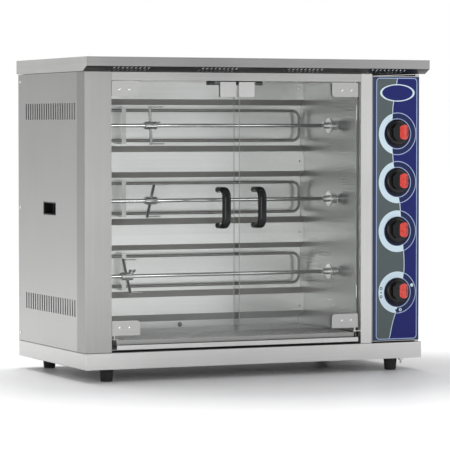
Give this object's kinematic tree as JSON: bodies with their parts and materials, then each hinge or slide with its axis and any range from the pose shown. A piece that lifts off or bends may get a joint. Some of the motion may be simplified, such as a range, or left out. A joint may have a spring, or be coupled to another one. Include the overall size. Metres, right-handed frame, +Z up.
{
  "type": "rotisserie oven",
  "caption": "Countertop electric rotisserie oven in stainless steel with two glass doors, chain-driven spits, reflector heaters, drip tray and a control column.",
  "frame": {"origin": "on the surface the feet stand on, under the middle of the whole box", "axes": "+X to the control column, +Y from the doors to the back, +Z up"},
  "size_m": [1.014, 0.5824, 0.858],
  "materials": {
    "casing_steel": "fine brushed stainless sheet",
    "liner_steel": "bright polished stainless sheet",
    "chromed_wire": "bright chrome on steel",
    "dark_steel": "heat-darkened or oiled steel",
    "door_glass": "clear tempered glass",
    "black_plastic": "glossy black heat-proof moulding",
    "foot_rubber": "matt black rubber",
    "printed_film": "printed blue and grey-green film",
    "motor_paint": "dark grey enamel",
    "terminal_ceramic": "unglazed white ceramic",
    "red_insert": "red pointer inlay"
  },
  "bodies": {
    "root": {"base_plinth": "casing_steel", "left_side_panel": "casing_steel", "right_side_panel": "casing_steel", "rear_panel": "casing_steel", "roof_canopy": "casing_steel", "left_front_stile": "casing_steel", "right_front_stile": "casing_steel", "top_front_rail": "casing_steel", "control_fascia": "casing_steel", "regulator_bank": "casing_steel", "heater_bracket_upper": "casing_steel", "heater_bracket_middle": "casing_steel", "heater_bracket_lower": "casing_steel", "spit_rest_rail": "casing_steel", "chamber_back_wall": "liner_steel", "chamber_left_wall": "liner_steel", "chamber_right_wall": "liner_steel", "chamber_ceiling": "liner_steel", "heater_upper": "dark_steel", "heater_middle": "dark_steel", "heater_lower": "dark_steel", "drive_chain": "dark_steel", "magnetic_catch": "dark_steel", "cable_gland": "black_plastic", "foot_front_left": "foot_rubber", "foot_front_right": "foot_rubber", "foot_rear_left": "foot_rubber", "foot_rear_right": "foot_rubber", "control_overlay": "printed_film", "gear_motor": "motor_paint", "terminal_block": "terminal_ceramic"},
    "left_door": {"left_door_glass": "door_glass", "left_hinge_top": "casing_steel", "left_hinge_bottom": "casing_steel", "left_strike_plate": "casing_steel", "left_handle": "black_plastic"},
    "right_door": {"right_door_glass": "door_glass", "right_hinge_top": "casing_steel", "right_hinge_bottom": "casing_steel", "right_strike_plate": "casing_steel", "right_handle": "black_plastic"},
    "tray": {"drip_tray": "liner_steel", "grease_grid": "casing_steel"},
    "motor_shaft": {"motor_sprocket": "casing_steel"},
    "drive_upper": {"drive_hub_upper": "liner_steel"},
    "spit_upper": {"spit_rod_upper": "chromed_wire"},
    "fork_upper": {"spit_fork_upper": "chromed_wire"},
    "wing_upper": {"fork_screw_upper": "chromed_wire"},
    "drive_middle": {"drive_hub_middle": "liner_steel"},
    "spit_middle": {"spit_rod_middle": "chromed_wire"},
    "fork_middle": {"spit_fork_middle": "chromed_wire"},
    "wing_middle": {"fork_screw_middle": "chromed_wire"},
    "drive_lower": {"drive_hub_lower": "liner_steel"},
    "spit_lower": {"spit_rod_lower": "chromed_wire"},
    "fork_lower": {"spit_fork_lower": "chromed_wire"},
    "wing_lower": {"fork_screw_lower": "chromed_wire"},
    "dial_upper": {"knob_upper": "black_plastic"},
    "dial_middle": {"knob_middle": "black_plastic"},
    "dial_lower": {"knob_lower": "black_plastic"},
    "dial_motor": {"knob_motor": "black_plastic"}
  },
  "joints": [
    {"name": "left_door_swing", "type": "hinge", "parent": "root", "child": "left_door", "pos_m": [-0.414, -0.23275, 0.126], "axis": [0, 0, -1], "range_deg": [0, 100]},
    {"name": "right_door_swing", "type": "hinge", "parent": "root", "child": "right_door", "pos_m": [0.297, -0.23275, 0.126], "axis": [0, 0, 1], "range_deg": [0, 100]},
    {"name": "tray_pull", "type": "slide", "parent": "root", "child": "tray", "axis": [0, -1, 0], "range_m": [0, 0.3]},
    {"name": "motor_turn", "type": "hinge", "parent": "root", "child": "motor_shaft", "pos_m": [0.324, -0.10625, 0.15], "axis": [1, 0, 0], "continuous": true},
    {"name": "spit_turn_upper", "type": "hinge", "parent": "root", "child": "drive_upper", "pos_m": [0.307, -0.10625, 0.678], "axis": [1, 0, 0], "continuous": true},
    {"name": "spit_pull_upper", "type": "slide", "parent": "drive_upper", "child": "spit_upper", "axis": [-1, 0, 0], "range_m": [0, 0.016]},
    {"name": "fork_slide_upper", "type": "slide", "parent": "spit_upper", "child": "fork_upper", "axis": [1, 0, 0], "range_m": [-0.13, 0.469]},
    {"name": "wing_turn_upper", "type": "hinge", "parent": "fork_upper", "child": "wing_upper", "pos_m": [-0.247, -0.10625, 0.678], "axis": [0, -0.9336, 0.3584], "range_deg": [0, 270]},
    {"name": "spit_turn_middle", "type": "hinge", "parent": "root", "child": "drive_middle", "pos_m": [0.307, -0.10625, 0.475], "axis": [1, 0, 0], "continuous": true},
    {"name": "spit_pull_middle", "type": "slide", "parent": "drive_middle", "child": "spit_middle", "axis": [-1, 0, 0], "range_m": [0, 0.016]},
    {"name": "fork_slide_middle", "type": "slide", "parent": "spit_middle", "child": "fork_middle", "axis": [1, 0, 0], "range_m": [-0.13, 0.469]},
    {"name": "wing_turn_middle", "type": "hinge", "parent": "fork_middle", "child": "wing_middle", "pos_m": [-0.247, -0.10625, 0.475], "axis": [0, -0.9703, -0.2419], "range_deg": [0, 270]},
    {"name": "spit_turn_lower", "type": "hinge", "parent": "root", "child": "drive_lower", "pos_m": [0.307, -0.10625, 0.272], "axis": [1, 0, 0], "continuous": true},
    {"name": "spit_pull_lower", "type": "slide", "parent": "drive_lower", "child": "spit_lower", "axis": [-1, 0, 0], "range_m": [0, 0.016]},
    {"name": "fork_slide_lower", "type": "slide", "parent": "spit_lower", "child": "fork_lower", "axis": [1, 0, 0], "range_m": [-0.06, 0.539]},
    {"name": "wing_turn_lower", "type": "hinge", "parent": "fork_lower", "child": "wing_lower", "pos_m": [-0.317, -0.10625, 0.272], "axis": [0, -0.6947, 0.7193], "range_deg": [0, 270]},
    {"name": "dial_upper_turn", "type": "hinge", "parent": "root", "child": "dial_upper", "pos_m": [0.4233, -0.24525, 0.65972], "axis": [0, 1, 0], "range_deg": [0, 270]},
    {"name": "dial_middle_turn", "type": "hinge", "parent": "root", "child": "dial_middle", "pos_m": [0.4233, -0.24525, 0.52591], "axis": [0, 1, 0], "range_deg": [0, 270]},
    {"name": "dial_lower_turn", "type": "hinge", "parent": "root", "child": "dial_lower", "pos_m": [0.4233, -0.24525, 0.39064], "axis": [0, 1, 0], "range_deg": [0, 270]},
    {"name": "dial_motor_turn", "type": "hinge", "parent": "root", "child": "dial_motor", "pos_m": [0.4233, -0.24525, 0.22173], "axis": [0, 1, 0], "range_deg": [0, 270]}
  ],
  "couplings": [
    {"joint": "spit_turn_middle", "follows": "spit_turn_upper", "ratio": 1},
    {"joint": "spit_turn_lower", "follows": "spit_turn_upper", "ratio": 1},
    {"joint": "motor_turn", "follows": "spit_turn_upper", "ratio": 1}
  ]
}
